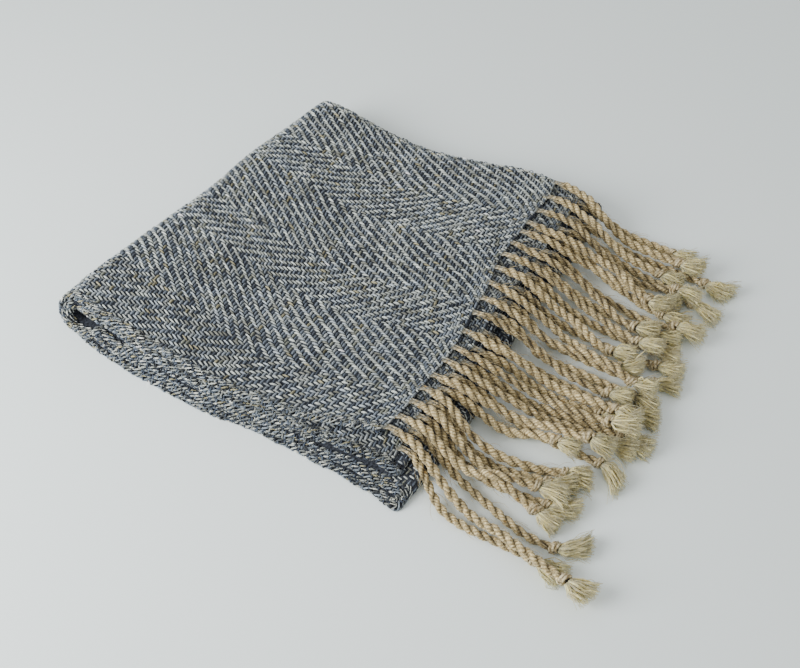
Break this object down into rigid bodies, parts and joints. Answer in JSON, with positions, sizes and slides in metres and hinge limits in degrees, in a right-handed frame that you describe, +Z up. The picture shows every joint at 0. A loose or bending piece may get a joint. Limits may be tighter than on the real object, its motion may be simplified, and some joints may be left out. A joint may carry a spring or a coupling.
{
  "type": "folded tweed scarf",
  "caption": "Handwoven herringbone tweed scarf folded flat into layers, with twisted, knotted and tufted wool fringe lying out from one side.",
  "frame": {"origin": "on the table, at the middle of the face that the folded pile rests on", "axes": "+X along the warp, from the left fold to the fringe; +Y along the weft, from the near selvedge to the far one; +Z up"},
  "size_m": [0.3948, 0.3, 0.0288],
  "materials": {
    "tweed": "woolly blue, grey and cream herringbone tweed",
    "fringe_wool": "twisted beige wool yarn with loose cream ends"
  },
  "bodies": {
    "root": {"top_layer": "tweed", "second_layer": "tweed", "inner_layers": "tweed", "top_fringe": "fringe_wool", "second_fringe": "fringe_wool"}
  },
  "joints": []
}
